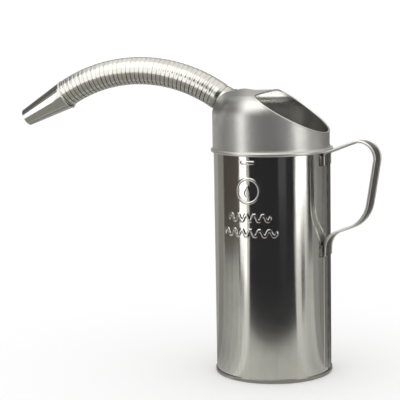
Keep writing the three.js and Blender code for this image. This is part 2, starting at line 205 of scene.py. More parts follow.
def tinplate(name="bright_tinplate", anisotropy=0.0, shine=(0.06, 0.14), tone=1.0, soiled=False):
    """Bright rolled tinplate: nearly a mirror, with rolling lines, light scratches and dull patches."""
    m = Nodes(name)
    if anisotropy:
        m.grooved_round_z(anisotropy)
    m.shader.inputs["Metallic"].default_value = 1.0
    patches = m.noise(m.place, 26, 4, 0.6)
    specks = m.noise(m.place, 700, 2, 0.7)
    lines = m.noise(m.stretched(420, 420, 5), 1.0, 2, 0.6)
    hairs = m.noise(m.stretched(900, 900, 60), 1.0, 2, 0.8, 0.6)
    pale, dull = [tuple(tone * part for part in tint) for tint in ((0.80, 0.795, 0.765), (0.70, 0.69, 0.655))]
    tint = m.mixed(m.ranged(patches, 0.35, 0.7, 0, 1), pale, dull)
    streaked = tuple(tone * part for part in (0.52, 0.51, 0.50))
    tint = m.mixed(m.ranged(lines, 0.48, 0.72, 0, 0.25), tint, streaked)
    tint = m.mixed(m.ranged(specks, 0.66, 0.78, 0, 0.55), tint, (0.36, 0.34, 0.30))
    if soiled:
        tint = m.mixed(m.attribute("soiled"), tint, (0.035, 0.032, 0.028))
    m.colour(tint)
    smudged = m.ranged(patches, 0.35, 0.72, *shine)
    scratched = m.ranged(hairs, 0.58, 0.80, 0.0, 0.04)
    m.roughness(m.maths("ADD", smudged, scratched))
    waves = m.noise(m.stretched(1, 1, 0.25), 34, 1, 0.4)
    m.bump([(waves, 0.22, 0.0012), (lines, 0.12, 0.0002), (hairs, 0.08, 0.0001)])
    return m.material


def satin_tin(name="satin_tin"):
    """Drawn tinplate: satin, with the fine lines that the drawing die leaves."""
    m = Nodes(name)
    m.shader.inputs["Metallic"].default_value = 0.92
    patches = m.noise(m.place, 32, 5, 0.6)
    grain = m.noise(m.place, 1500, 2, 0.6)
    draws = m.noise(m.stretched(500, 500, 24), 1.0, 3, 0.65)
    smears = m.noise(m.stretched(60, 60, 22), 1.0, 4, 0.65, 0.8)
    tint = m.mixed(m.ranged(patches, 0.3, 0.7, 0, 1), (0.77, 0.765, 0.745), (0.66, 0.655, 0.625))
    tint = m.mixed(m.ranged(smears, 0.56, 0.72, 0, 0.35), tint, (0.50, 0.49, 0.455))
    tint = m.mixed(m.ranged(grain, 0.62, 0.8, 0, 0.3), tint, (0.42, 0.41, 0.38))
    # Painted dark reflection: the upper shoulder on the spout's side is darkened to stand for the dark things
    # it mirrors.
    painted_dark_reflection = m.maths("MULTIPLY", m.attribute("painted_dark_reflection"), m.ranged(patches, 0.25, 0.75, 1.0, 0.7))
    m.colour(m.mixed(painted_dark_reflection, tint, (0.27, 0.27, 0.262)))
    m.roughness(m.maths("ADD", m.ranged(patches, 0.3, 0.75, 0.30, 0.39), m.ranged(grain, 0.3, 0.8, 0, 0.06)))
    m.bump([(patches, 0.16, 0.0012), (draws, 0.12, 0.0002), (grain, 0.1, 0.0001)])
    return m.material


def hose_steel():
    """Bright strip of the wound hose, with oily dirt in its grooves, darkened further on the underside as
    painted shade.
    """
    m = Nodes("hose_strip")
    m.shader.inputs["Metallic"].default_value = 1.0
    dirt_and_shade = m.attribute("groove")
    patches = m.noise(m.place, 90, 4, 0.6)
    hairs = m.noise(m.place, 1600, 2, 0.7)
    strip = m.mixed(m.ranged(patches, 0.35, 0.7, 0, 1), (0.80, 0.79, 0.755), (0.70, 0.685, 0.64))
    # The groove attribute carries oily dirt and, on the hose's underside, painted shade.
    uneven = m.maths("MULTIPLY", dirt_and_shade, m.ranged(patches, 0.2, 0.7, 1.15, 0.8))
    m.colour(m.mixed(uneven, strip, (0.10, 0.092, 0.075)))
    shine = m.ranged(patches, 0.3, 0.75, 0.17, 0.30)
    m.roughness(m.maths("ADD", shine, m.maths("MULTIPLY", dirt_and_shade, 0.35)))
    m.bump([(patches, 0.15, 0.0006), (hairs, 0.08, 0.0001)])
    return m.material


def solder():
    """Dull, lumpy soft solder with flux stains."""
    m = Nodes("soft_solder")
    m.shader.inputs["Metallic"].default_value = 1.0
    lumps = m.noise(m.place, 420, 4, 0.6)
    stains = m.noise(m.place, 160, 3, 0.6)
    grey = m.mixed(m.ranged(stains, 0.35, 0.65, 0, 1), (0.09, 0.085, 0.07), (0.34, 0.33, 0.30))
    m.colour(grey)
    m.roughness(m.ranged(stains, 0.3, 0.7, 0.55, 0.3))
    m.bump([(lumps, 0.7, 0.0008)])
    return m.material


TINPLATE = tinplate()
INSIDE_TIN = tinplate("inside_tinplate", shine=(0.22, 0.3))
# Painted shade: the handle's strap is a darker copy of the bright tinplate, its colour cut to 0.42.
SHADED_HANDLE_TIN = tinplate("handle_tinplate_painted_shade", shine=(0.2, 0.3), tone=0.42)
# Painted shade: the foot is a darker copy of the bright tinplate, its colour halved.
SHADED_FOOT_TIN = tinplate("foot_tinplate_painted_shade", tone=0.5)
# Painted highlight: the rolled edges are a brighter copy of the tinplate, its colour raised by 1.18.
LIT_WIRE_TIN = tinplate("wire_tinplate_painted_highlight", shine=(0.28, 0.38), tone=1.18)
BODY_TIN = tinplate("rolled_tinplate", anisotropy=0.86, shine=(0.125, 0.16), soiled=True)
SATIN = satin_tin()
HOSE = hose_steel()
SOLDER = solder()


# ---- mesh helpers ----
def new_piece(name, points, faces, material, nodes, body="can", crease=38):
    """A smooth-shaded mesh from points in millimetres, which rides on a body and stands for CAD nodes."""
    mesh = bpy.data.meshes.new(name)
    mesh.from_pydata((np.asarray(points, float) * MM).tolist(), [], faces)
    mesh.validate()
    mesh.materials.append(material)
    mesh.shade_smooth()
    if crease:
        mesh.set_sharp_from_angle(angle=math.radians(crease))
    piece = bpy.data.objects.new(name, mesh)
    bpy.context.scene.collection.objects.link(piece)
    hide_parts(*nodes)
    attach(piece, body)
    return piece


def paint(piece, name, amounts):
    """Stores an amount for every point, under the name that the piece's material reads it by."""
    attribute = piece.data.attributes.new(name, "FLOAT", "POINT")
    attribute.data.foreach_set("value", np.ravel(amounts))


def grid_faces(rows, columns, close_rows=False, close_columns=False, first=0):
    """Quads of a grid whose points are numbered row by row from first."""
    faces = []
    for i in range(rows if close_rows else rows - 1):
        for j in range(columns if close_columns else columns - 1):
            here, right = i * columns + j, i * columns + (j + 1) % columns
            up = (i + 1) % rows * columns
            faces.append((first + here, first + right, first + up + (j + 1) % columns, first + up + j))
    return faces


def rounded(corners, steps=5, closed=False):
    """An outline through (x, y, radius) corners, each corner with a radius turned into an arc."""
    outline = []
    count = len(corners)
    for index, (x, y, radius) in enumerate(corners):
        corner = Vector((x, y))
        if not radius or (not closed and index in (0, count - 1)):
            outline.append((x, y))
            continue
        back = (Vector(corners[index - 1][:2]) - corner).normalized()
        ahead = (Vector(corners[(index + 1) % count][:2]) - corner).normalized()
        half = back.angle(ahead) / 2
        centre = corner + (back + ahead).normalized() * (radius / math.sin(half))
        start = corner + back * (radius / math.tan(half)) - centre
        sweep = math.pi - 2 * half
        if back.x * ahead.y - back.y * ahead.x > 0:
            sweep = -sweep
        for step in range(steps + 1):
            turn = sweep * step / steps
            spun = Matrix.Rotation(turn, 2) @ start
            outline.append(tuple(centre + spun))
    return outline


def turned(outline, facets=160):
    """Points and faces of a closed (radius, height) outline turned about Z. Ends on the axis become poles."""
    angles = np.linspace(0, 2 * math.pi, facets, endpoint=False)
    outline = np.asarray(outline, float)
    poles = [k for k in (0, len(outline) - 1) if outline[k, 0] < 1e-6]
    rings = outline[[k for k in range(len(outline)) if k not in poles]]
    radius, height = rings[:, :1], rings[:, 1:]
    points = np.stack(
        [radius * np.cos(angles), radius * np.sin(angles), height + 0 * angles], -1
    ).reshape(-1, 3)
    faces = grid_faces(len(rings), facets, close_rows=not poles, close_columns=True)
    for pole in poles:
        at = len(points)
        points = np.vstack([points, [0, 0, outline[pole, 1]]])
        ring = 0 if pole == 0 else len(rings) - 1
        for j in range(facets):
            a, b = ring * facets + j, ring * facets + (j + 1) % facets
            faces.append((at, b, a) if pole == 0 else (at, a, b))
    return points, faces


def laid_along(points, origin, direction):
    """Points that stand on Z, turned to lie along a direction in the XZ plane from an origin."""
    spin = Vector((0, 0, 1)).rotation_difference(Vector(direction)).to_matrix()
    return np.asarray(points) @ np.array(spin).T + np.asarray(origin)


def swept(path, tangents, across, section, closed=False):
    """A section of (across, outward) offsets carried along a path, as points and faces."""
    outward = np.cross(across, tangents)
    rows = [p + section[:, :1] * a + section[:, 1:] * o for p, a, o in zip(path, across, outward)]
    points = np.concatenate(rows)
    sides = len(section)
    faces = grid_faces(len(rows), sides, close_rows=closed, close_columns=True)
    if not closed:
        faces.append(tuple(range(sides))[::-1])
        faces.append(tuple((len(rows) - 1) * sides + k for k in range(sides)))
    return points, faces


def circle(radius, sides=14):
    turns = np.linspace(0, 2 * math.pi, sides, endpoint=False)
    return np.stack([radius * np.cos(turns), radius * np.sin(turns)], -1)


def smoothstep(value):
    value = np.clip(value, 0, 1)
    return value * value * (3 - 2 * value)


# ---- body: rolled cylinder with a lock seam and embossed marks ----
def bead_height(distance, half_width):
    """Height of an embossed bead at a distance from its centre line."""
    return EMBOSS * smoothstep((1 - distance / half_width) / 0.6)


def stadium_distance(u, w, length, height):
    """Distance from the middle line of a bar with round ends."""
    reach = (length - height) / 2
    return np.hypot(u - np.clip(u, -reach, reach), w)


def wave_distance(u, w, length, waves, swing):
    """Distance from a wavy line, near enough for a narrow bead."""
    number = 2 * math.pi * waves / length
    reach = length / 2
    inside = np.clip(u, -reach, reach)
    rise = swing * np.sin(number * (inside + reach))
    slope = swing * number * np.cos(number * (inside + reach))
    return np.hypot((w - rise) / np.sqrt(1 + slope**2), u - inside)


def drop_distance(u, w, radius, top_radius, height):
    """Signed distance to a drop that stands on its round end, centred on that end."""
    u = np.abs(u)
    lean = (radius - top_radius) / height
    side = math.sqrt(1 - lean * lean)
    along = -lean * u + side * w
    cone = u * side + w * lean - radius
    tip = np.hypot(u, w - height) - top_radius
    return np.where(along < 0, np.hypot(u, w) - radius, np.where(along > side * height, tip, cone))


def embossing(u, z):
    """Height of the fill bead, the drop in its ring and the wavy beads, at an arc length u and height z."""
    level, length, width = FILL_BEAD
    height = bead_height(stadium_distance(u, z - level, length, width), width / 2)
    ring = np.abs(np.hypot(u, z - RING_LEVEL) - RING_RADIUS)
    height = np.maximum(height, bead_height(ring, 1.3))
    drop = drop_distance(u, z - DROP_LEVEL, DROP_RADIUS, DROP_TIP_RADIUS, DROP_RISE)
    height = np.maximum(height, EMBOSS * smoothstep(-drop / 1.3))
    for length, waves, level in WAVY_BEADS:
        wave = wave_distance(u, z - level, length, waves, WAVE_SWING)
        height = np.maximum(height, bead_height(wave, 1.7))
    return height


def lock_seam(v, z):
    """Height of the folded seam at an arc length v from its middle."""
    half = LOCK_SEAM_WIDTH / 2
    plateau = smoothstep((v + half) / 1.0) * smoothstep((half - v) / 0.35)
    groove = np.exp(-(((v - half - 0.25) / 0.34) ** 2))
    along = smoothstep((z - FOOT_HEIGHT - 1) / 2) * smoothstep((BODY_TOP - 2 - z) / 1.5)
    return (LOCK_SEAM_HEIGHT * plateau - 0.42 * groove) * along


def seam_stain(v, z):
    """Dirt in the groove beside the folded seam, broken where it has been wiped off."""
    beside = np.exp(-(((v - LOCK_SEAM_WIDTH / 2 - 1.1) / 1.1) ** 2))
    broken = 0.35 + 0.65 * smoothstep(0.5 + 0.9 * np.sin(z * 0.47) + 0.6 * np.sin(z * 1.31 + 1))
    return beside * broken


def spread(parts):
    """A sorted list of places from (from, to, step) stretches."""
    places = [np.arange(low, high, step) for low, high, step in parts]
    return np.unique(np.round(np.concatenate(places), 6))


def arc_from(angles, middle):
    """Arc lengths on the body, to each side of the line at a middle angle."""
    return ((angles - middle + math.pi) % (2 * math.pi) - math.pi) * BODY_RADIUS


def build_body():
    mark, seam = math.degrees(MARK_ANGLE) % 360, math.degrees(HANDLE_ANGLE) % 360
    angles = spread(
        [
            (0, mark - 30, 1.9),
            (mark - 30, mark + 30, 0.42),
            (mark + 30, seam - 7, 1.9),
            (seam - 7, seam + 7, 0.24),
            (seam + 7, 360, 1.9),
        ]
    )
    angles = np.radians(angles[angles < 359.9])
    top = BODY_TOP - SHEET
    heights = spread([(BODY_BOTTOM, 12, 1.5), (12, 136, 4), (136, 214, 0.42), (214, top, 0.8)])
    wall = [(BODY_RADIUS, z) for z in heights]
    flange = BODY_RADIUS + BODY_FLANGE
    rim = [(BODY_RADIUS, top), (flange, top), (flange, BODY_TOP), (BODY_RADIUS - SHEET, BODY_TOP)]
    inside = [(BODY_RADIUS - SHEET, z) for z in np.linspace(BODY_TOP - 2, BODY_BOTTOM, 24)]
    outline = np.array(wall + rim + inside)
    radius, z = outline[:, :1] + 0 * angles, outline[:, 1:] + 0 * angles
    on_wall = (np.arange(len(outline)) < len(wall))[:, None]
    from_mark, from_seam = arc_from(angles, MARK_ANGLE), arc_from(angles, HANDLE_ANGLE)
    raised = embossing(from_mark, z) + lock_seam(from_seam, z)
    radius = radius + raised * on_wall
    points = np.stack([radius * np.cos(angles), radius * np.sin(angles), z], -1).reshape(-1, 3)
    faces = grid_faces(len(outline), len(angles), close_rows=True, close_columns=True)
    body = new_piece("body", points, faces, BODY_TIN, ["body_shell"], crease=60)
    paint(body, "soiled", seam_stain(from_seam + 0 * z, z) * on_wall)


def build_base():
    wall = BODY_RADIUS - SHEET - BASE_CLEARANCE
    hook = FOOT_RADIUS - SHEET
    profile = rounded(
        [
            (0, BASE_RECESS, 0),
            (wall - SHEET, BASE_RECESS, 1.0),
            (wall - SHEET, 0, 0.7),
            (FOOT_RADIUS, 0, 1.1),
            (FOOT_RADIUS, FOOT_HEIGHT, 0.5),
            (hook - 0.35, FOOT_HEIGHT + 0.1, 0.1),
            (hook, SHEET, 0.3),
            (wall, SHEET, 0.2),
            (wall, BASE_RECESS + SHEET, 0.4),
            (0, BASE_RECESS + SHEET, 0),
        ]
    )
    points, faces = turned(profile, 224)
    new_piece("base", points, faces, SHADED_FOOT_TIN, ["base_end"])


# ---- hood: drawn dome, with its mouth, its seam and the fairing round the outlet ----
SHOULDER_CENTRE = HOOD_RADIUS - SHOULDER_REACH
SHOULDER_TOP = SHOULDER_START + SHOULDER_RISE
SPOUT_AXIS = np.array([-math.cos(NECK_ANGLE), 0, math.sin(NECK_ANGLE)])
SPOUT_UP = np.array([math.sin(NECK_ANGLE), 0, math.cos(NECK_ANGLE)])
HOLE_RADIUS = 12.2
HOLE_SIDE = -40  # points further back than this along the spout's axis are on the hood's other side
SEAT_DEPTH = 4.2
# Direction, in the part's frame, of the hood's painted dark reflection.
PAINTED_DARK_SIDE = np.array([-0.963, -0.271, 0])
MOUTH_MIDDLE = np.array([30.0, 0.0])
MOUTH_INSET = 0.35
HOOD_RAYS, HOOD_ROWS = 400, 84


def arc_point(angle, outward=0.0):
    reach = ARC_RADIUS + outward
    return np.array([ARC_X + reach * math.sin(angle), 0, ARC_Z + reach * math.cos(angle)])


NECK_ORIGIN = arc_point(NECK_ANGLE)


def hood_meridian():
    """The hood's outline from its top to the rolled seam, as (radius, height), with the wall's end index."""
    crown = [
        (r, SHOULDER_TOP + CROWN_RISE * (1 - (r / SHOULDER_CENTRE) ** 2))
        for r in np.linspace(0, SHOULDER_CENTRE, 20)[:-1]
    ]
    shoulder = [
        (SHOULDER_CENTRE + SHOULDER_REACH * math.sin(t), SHOULDER_START + SHOULDER_RISE * math.cos(t))
        for t in np.linspace(0, math.pi / 2, 40)
    ]
    high = BODY_TOP + SEAM_HALF_HEIGHT
    low = BODY_TOP - SEAM_HALF_HEIGHT
    wall_end = high + 2.5
    seam = rounded(
        [
            (HOOD_RADIUS, wall_end, 0),
            (HOOD_RADIUS, high, 1.0),
            (SEAM_RADIUS, high, 0.8),
            (SEAM_RADIUS, low, 0.8),
            (BODY_RADIUS + 0.7, low, 0),
        ],
        steps=6,
    )
    return np.array(crown + shoulder + seam), len(crown) + len(shoulder)


def cut_height(x):
    """Height of the mouth's slanted edge."""
    return MOUTH_HEIGHT - MOUTH_SLOPE * x + MOUTH_CURVE * x * x


class Dome:
    """The hood's surface, unrolled onto a disc whose radius is the distance along the meridian."""

    def __init__(self):
        self.outline, end = hood_meridian()
        steps = np.hypot(*np.diff(self.outline, axis=0).T)
        self.reach = np.concatenate([[0], np.cumsum(steps)])
        self.wall_end = self.reach[end]
        self.seam_reaches = self.reach[end:]

    def raised(self, disc):
        """Points on the hood for (x, y) places on the disc."""
        reach = np.linalg.norm(disc, axis=-1)
        angle = np.arctan2(disc[..., 1], disc[..., 0])
        radius = np.interp(reach, self.reach, self.outline[:, 0])
        height = np.interp(reach, self.reach, self.outline[:, 1])
        leaning = smoothstep((height - BODY_TOP - SEAM_HALF_HEIGHT) / 3)
        radius = radius - HOOD_TAPER * leaning
        return np.stack([radius * np.cos(angle) - HOOD_LEAN * leaning, radius * np.sin(angle), height], -1)

    def mouth_reach(self, centre, rays):
        """How far along each ray from the mouth's middle its edge lies."""
        near, far = np.zeros(len(rays)), np.full(len(rays), self.wall_end * 2)
        for _ in range(40):
            middle = (near + far) / 2
            disc = centre + rays * middle[:, None]
            point = self.raised(disc)
            within = np.linalg.norm(disc, axis=-1) < self.wall_end
            open_here = within & (point[:, 2] > cut_height(point[:, 0]))
            near = np.where(open_here, middle, near)
            far = np.where(open_here, far, middle)
        return near


def from_spout_axis(points):
    """How far along the spout's axis points lie, their offsets from it, and the lengths of those."""
    offset = points - NECK_ORIGIN
    along = offset @ SPOUT_AXIS
    radial = offset - along[:, None] * SPOUT_AXIS
    return along, radial, np.linalg.norm(radial, axis=1)


def cut_outlet(points, faces):
    """Opens the outlet's hole and draws the points inside it out to its edge."""
    along, radial, distance = from_spout_axis(points)
    in_hole = (distance < HOLE_RADIUS) & (along > HOLE_SIDE)
    faces = [f for f in faces if not all(in_hole[k] for k in f)]
    scale = np.where(in_hole, HOLE_RADIUS / np.maximum(distance, 1e-6), 1.0)
    return NECK_ORIGIN + along[:, None] * SPOUT_AXIS + radial * scale[:, None], faces


def fairing(points):
    """Shapes the hood round its outlet: a dished seat at the hole and a broad swelling above it."""
    along, radial, distance = from_spout_axis(points)
    upward = (radial @ SPOUT_UP) / np.maximum(distance, 1e-6)
    near_side = along > HOLE_SIDE
    width = 11 - 5 * smoothstep(upward)
    dish = SEAT_DEPTH * smoothstep(1 - (distance - HOLE_RADIUS) / width) * near_side
    swelling = 3.6 * smoothstep(1 - (distance - HOLE_RADIUS) / 19) * smoothstep((upward + 0.1) / 1.1)
    return points - dish[:, None] * SPOUT_AXIS + (swelling * near_side)[:, None] * np.array([0, 0, 1.0])


def drop_unused(points, faces):
    """Only the points that the faces use, and the faces numbered to match."""
    used = sorted({k for f in faces for k in f})
    renumber = {k: n for n, k in enumerate(used)}
    return points[used], [tuple(renumber[k] for k in f) for f in faces]


def build_hood():
    """The hood's outer skin, thickened inwards, with a brighter inside. Returns the dome it was cut from."""
    dome = Dome()
    rays = circle(1.0, HOOD_RAYS)
    side = rays @ MOUTH_MIDDLE
    outer = -side + np.sqrt(side**2 - MOUTH_MIDDLE @ MOUTH_MIDDLE + dome.wall_end**2)
    first = dome.mouth_reach(MOUTH_MIDDLE, rays) + MOUTH_INSET
    reach = first + (outer - first) * np.linspace(0, 1, HOOD_ROWS)[:, None]
    disc = MOUTH_MIDDLE + rays * reach[:, :, None]
    rows = [dome.raised(row) for row in disc]
    last = disc[-1] / np.linalg.norm(disc[-1], axis=1)[:, None]
    rows += [dome.raised(last * reach) for reach in dome.seam_reaches[1:]]
    faces = grid_faces(len(rows), HOOD_RAYS, close_columns=True)
    points, faces = cut_outlet(np.concatenate(rows), faces)
    points, faces = drop_unused(fairing(points), faces)
    hood = new_piece("hood_shell", points, faces, SATIN, ["hood"], crease=0)
    # Painted dark reflection: a mask on the upper shoulder towards the spout and a little to the front, which
    # the hood's material darkens.
    painted_dark_reflection = smoothstep((points @ PAINTED_DARK_SIDE - 20) / 14) * smoothstep((points[:, 2] - 251) / 8)
    paint(hood, "painted_dark_reflection", painted_dark_reflection)
    hood.data.materials.append(INSIDE_TIN)
    hood.data.polygons.foreach_set("material_index", np.ones(len(hood.data.polygons), int))
    # Solidify's new skin is the outer one, so the offsets give it the first material.
    thickness = hood.modifiers.new("sheet", "SOLIDIFY")
    thickness.thickness = SHEET * MM
    thickness.offset = -1
    thickness.material_offset = -1
    thickness.material_offset_rim = -1
    return dome


def build_mouth_wire(dome):
    """The rolled edge: a wire along the mouth's edge, kept inside the hood's wall and evened out."""
    rays = circle(1.0, 300)
    edge = dome.raised(MOUTH_MIDDLE + rays * dome.mouth_reach(MOUTH_MIDDLE, rays)[:, None])
    radius = np.hypot(edge[:, 0], edge[:, 1])
    inset = np.minimum(1, (HOOD_RADIUS - MOUTH_WIRE_INSET) / radius)
    edge[:, :2] *= inset[:, None]
    for _ in range(6):
        edge = (np.roll(edge, 1, 0) + edge * 2 + np.roll(edge, -1, 0)) / 4
    tangents = np.roll(edge, -1, 0) - np.roll(edge, 1, 0)
    tangents /= np.linalg.norm(tangents, axis=1)[:, None]
    across = np.cross(tangents, [0, 0, 1.0])
    across /= np.linalg.norm(across, axis=1)[:, None]
    points, faces = swept(edge, tangents, across, circle(MOUTH_WIRE_RADIUS), closed=True)
    new_piece("mouth_edge", points, faces, LIT_WIRE_TIN, ["mouth_wire"], crease=0)


def build_neck():
    """Short tube through the hood's shoulder, with the flared collar that is soldered to its seat."""
    profile = rounded(
        [
            (10.9, -13.5, 0),
            (14.6, -13.5, 0.4),
            (15.4, -11.0, 0.8),
            (13.7, -8.3, 2.6),
            (13.4, -2.9, 0.5),
            (12.2, -2.6, 0.1),
            (11.4, -1.9, 0.2),
            (10.9, -1.9, 0.2),
        ],
        steps=6,
        closed=True,
    )
    points, faces = turned(profile, 96)
    crevice = smoothstep((-10.8 - points[:, 2]) / 1.2) + smoothstep((points[:, 2] + 2.8) / 0.4)
    on_top = smoothstep((points[:, 0] - 5) / 7) * smoothstep((-6 - points[:, 2]) / 3)
    soiled = np.clip(0.02 + 0.45 * crevice + 0.45 * on_top, 0, 1)
    points = laid_along(points, NECK_ORIGIN, SPOUT_AXIS)
    neck = new_piece("neck", points, faces, HOSE, ["outlet_neck"])
    paint(neck, "groove", soiled)


# ---- spout ----
TURN_PITCH = SEGMENT_LENGTH / 3
BORE = 10.4
LIP = 1.2  # how far before its joint each stretch of hose ends
TAIL = 3.9  # how far each stretch reaches back into the one before it
BALL_RADIUS = 13.33
SOCKET_RADIUS = 13.38
SOCKET_DEPTH = 6.4


def along_arc(local):
    """Points (outward, sideways, distance along) bent onto the spout's arch."""
    angle = ARC_START - local[:, 2] / ARC_RADIUS
    reach = ARC_RADIUS + local[:, 0]
    return np.stack([ARC_X + reach * np.sin(angle), local[:, 1], ARC_Z + reach * np.cos(angle)], -1)


def straight_at(local, joint):
    """The same points laid out straight in the frame of the joint at a distance along the arch."""
    angle = ARC_START - joint / ARC_RADIUS
    outward = np.array([math.sin(angle), 0, math.cos(angle)])
    onward = np.array([-math.cos(angle), 0, math.sin(angle)])
    across = local[:, 1:2] * np.array([0, 1.0, 0])
    return arc_point(angle) + local[:, :1] * outward + across + (local[:, 2:] - joint) * onward


def strip_surface(distance, turns):
    """Radius of the wound strip, and the dark in its grooves (oily dirt, with painted shade underneath), at
    distances from its joint and places round it.
    """
    below = smoothstep((0.25 - np.cos(turns)) / 0.5)
    from_lip = (distance + LIP) % TURN_PITCH
    groove = smoothstep((0.5 - from_lip) / 0.15)
    rise = 0.2 * smoothstep((from_lip - 1.6) / 2.0) - 0.06 * smoothstep((from_lip - 4.3) / 0.25)
    radius = BALL_RADIUS - 0.02 + rise - (0.25 + 0.4 * below) * groove
    # Oily dirt in each groove, made wider and darker on the underside as painted shade.
    dirt_and_shade = smoothstep((0.6 + 0.45 * below - from_lip) / 0.3) * (0.3 + 0.7 * below)
    ball = np.sqrt(BALL_RADIUS**2 - np.minimum(distance, 2) ** 2) + 0 * turns
    radius = np.where(distance < LIP + 0.05, ball, radius)
    dirt_and_shade = np.where(distance < -LIP, 0.45, dirt_and_shade)
    return radius, dirt_and_shade


def socket_outline(joint):
    """The inside of a stretch's end as (radius, distance): a hollow round the next stretch's ball."""
    places = np.linspace(-LIP, -SOCKET_DEPTH, 9)
    return [(math.sqrt(SOCKET_RADIUS**2 - place**2), joint + place) for place in places]


def build_hose_stretch(index):
    """A rigid stretch of the wound hose: a ball-shaped tail, three turns and a socket for the next one."""
    last = index == SEGMENTS - 1
    end = SEGMENT_LENGTH + 0.9 if last else SEGMENT_LENGTH - LIP
    turns = np.linspace(0, 2 * math.pi, 96, endpoint=False)
    outside = np.append(np.arange(-TAIL, end - 0.1, 0.2), end)
    radius, dirt_and_shade = strip_surface(outside[:, None], turns)
    inside = [] if last else socket_outline(SEGMENT_LENGTH)
    inside += [(BORE, inside[-1][1] if inside else end), (BORE, -TAIL)]
    inside_radius, inside_places = np.array(inside).T
    radius = np.vstack([radius, inside_radius[:, None] + 0 * turns])
    dirt_and_shade = np.vstack([dirt_and_shade, np.full((len(inside), len(turns)), 0.6)])
    along = index * SEGMENT_LENGTH + np.concatenate([outside, inside_places])[:, None] + 0 * turns
    local = np.stack([radius * np.cos(turns), radius * np.sin(turns), along], -1).reshape(-1, 3)
    points = along_arc(local)
    joint = index * SEGMENT_LENGTH
    ball = local[:, 2] < joint + 1
    points[ball] = straight_at(local[ball], joint)
    hollow = np.repeat(np.arange(len(radius)) >= len(outside), len(turns)) & ~ball & (not last)
    points[hollow] = straight_at(local[hollow], joint + SEGMENT_LENGTH)
    faces = grid_faces(len(radius), len(turns), close_rows=True, close_columns=True)
    name, node, body = f"hose_{index + 1:02d}", f"hose_segment_{index + 1:02d}", f"spout_{index + 1:02d}"
    piece = new_piece(name, points, faces, HOSE, [node], body=body)
    paint(piece, "groove", dirt_and_shade)


def build_ferrule():
    """The smooth sleeve on the neck, with a socket for the first stretch of hose."""
    outside = [(11.6, -8.2, 0.1), (12.9, -8.2, 0.4), (13.48, -5.0, 1.5), (13.48, -LIP, 0.03)]
    inside = [(radius, place, 0) for radius, place in socket_outline(0)]
    profile = rounded(outside + inside + [(11.6, -SOCKET_DEPTH, 0)], closed=True)
    points, faces = turned(profile, 96)
    below = smoothstep((0.3 - points[:, 0] / HOSE_RADIUS) / 0.9)
    soiled = 0.02 + 0.5 * below * smoothstep((-2.5 - points[:, 2]) / 4)
    hollow = np.hypot(points[:, 0], points[:, 1]) < SOCKET_RADIUS - 0.01
    hollow &= points[:, 2] > -SOCKET_DEPTH - 0.01
    points = np.where(hollow[:, None], straight_at(points, 0), along_arc(points))
    ferrule = new_piece("ferrule", points, faces, HOSE, ["hose_ferrule"])
    paint(ferrule, "groove", soiled)


HOSE_END = arc_point(ARC_START - SEGMENTS * SEGMENT_LENGTH / ARC_RADIUS)
NOZZLE_AXIS = np.array([-math.cos(NOZZLE_ANGLE), 0, -math.sin(NOZZLE_ANGLE)])
NOZZLE_DOWN = np.array([math.sin(NOZZLE_ANGLE), 0, -math.cos(NOZZLE_ANGLE)])
NOZZLE_BASE = HOSE_END + NOZZLE_DOWN * NOZZLE_DROP


def build_nozzle():
    """The cone, with a lip turned in at its base, and the rolled edge round that base."""
    inner = NOZZLE_BASE_RADIUS - SHEET
    cone = rounded(
        [
            (inner - 1.6, 1.2, 0.1),
            (inner - 1.6, 0.7, 0.1),
            (NOZZLE_BASE_RADIUS, 0.7, 0.3),
            (NOZZLE_BASE_RADIUS, 3.2, 2.0),
            (NOZZLE_TIP_RADIUS, NOZZLE_LENGTH, 0.22),
            (NOZZLE_TIP_RADIUS - SHEET, NOZZLE_LENGTH, 0.22),
            (inner, 3.2, 2.0),
            (inner, 1.2, 0.1),
        ],
        closed=True,
    )
    points, faces = turned(cone, 128)
    points = laid_along(points, NOZZLE_BASE, NOZZLE_AXIS)
    new_piece("nozzle", points, faces, TINPLATE, ["nozzle_cone"], body=LAST_BODY)
    bead = circle(0.72, 14) + [NOZZLE_BASE_RADIUS - 0.05, 0.9]
    points, faces = turned(bead, 128)
    points = laid_along(points, NOZZLE_BASE, NOZZLE_AXIS)
    new_piece("nozzle_rolled_edge", points, faces, LIT_WIRE_TIN, ["nozzle_bead"], body=LAST_BODY)


# ---- handle ----
PAD_HALF_WIDTH = 10.9
SOLDER_PADS = [("upper", 203.4, 214.6, 7), ("lower", 116.9, 128.0, 11)]  # name, bottom, top, seed


def handle_path(offset):
    """The strap's route in the can's frame, moved outward by an offset, with its tangents."""
    route = np.array(rounded(HANDLE_ROUTE, steps=20))
    steps = np.hypot(*np.diff(route, axis=0).T)
    reach = np.concatenate([[0], np.cumsum(steps)])
    even = np.linspace(0, reach[-1], 170)
    line = np.stack([np.interp(even, reach, route[:, k]) for k in (0, 1)], -1)
    slope = np.gradient(line, axis=0)
    slope /= np.linalg.norm(slope, axis=1)[:, None]
    line = line + offset * np.stack([-slope[:, 1], slope[:, 0]], -1)
    outward = np.array([math.cos(HANDLE_ANGLE), math.sin(HANDLE_ANGLE), 0])
    up = np.array([0, 0, 1.0])
    path = line[:, :1] * outward + line[:, 1:] * up
    tangents = slope[:, :1] * outward + slope[:, 1:] * up
    return path, tangents


